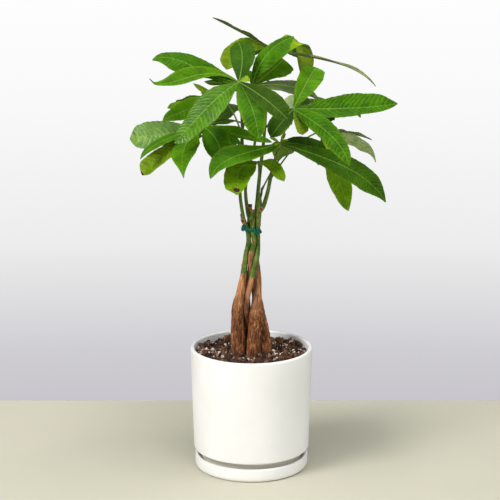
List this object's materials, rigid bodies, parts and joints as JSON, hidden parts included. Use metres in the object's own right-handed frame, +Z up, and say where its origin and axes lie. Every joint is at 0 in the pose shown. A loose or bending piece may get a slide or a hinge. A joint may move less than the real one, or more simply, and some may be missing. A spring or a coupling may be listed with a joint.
{
  "type": "potted money tree",
  "caption": "Money tree with slim plaited trunks tied at the top and a loose crown of palmate leaves, in a white ceramic pot standing on its saucer.",
  "frame": {"origin": "centre of the saucer's underside, on the surface that the pot stands on", "axes": "+Z up along the pot's axis; +Y away from the viewer of the front; +X to the right"},
  "size_m": [0.3342, 0.2942, 0.5872],
  "materials": {
    "ceramic": "satin",
    "soil": "matte",
    "bark": "matte",
    "tie": "satin",
    "leaf": "satin"
  },
  "bodies": {
    "root": {"saucer": "ceramic", "pot": "ceramic", "soil": "soil", "trunk_1": "bark", "trunk_2": "bark", "trunk_3": "bark", "trunk_4": "bark", "trunk_5": "bark", "tie": "tie", "leaf_top_front": "leaf", "leaf_right_front": "leaf", "leaf_low_right": "leaf", "leaf_low_front": "leaf", "leaf_left_front": "leaf", "leaf_left_middle": "leaf", "leaf_top_middle": "leaf", "leaf_top_back": "leaf", "leaf_right_back": "leaf", "leaf_back_left": "leaf", "leaf_back_right": "leaf", "leaf_back_middle": "leaf", "leaf_back_left_low": "leaf", "leaf_back_right_low": "leaf"}
  },
  "joints": []
}
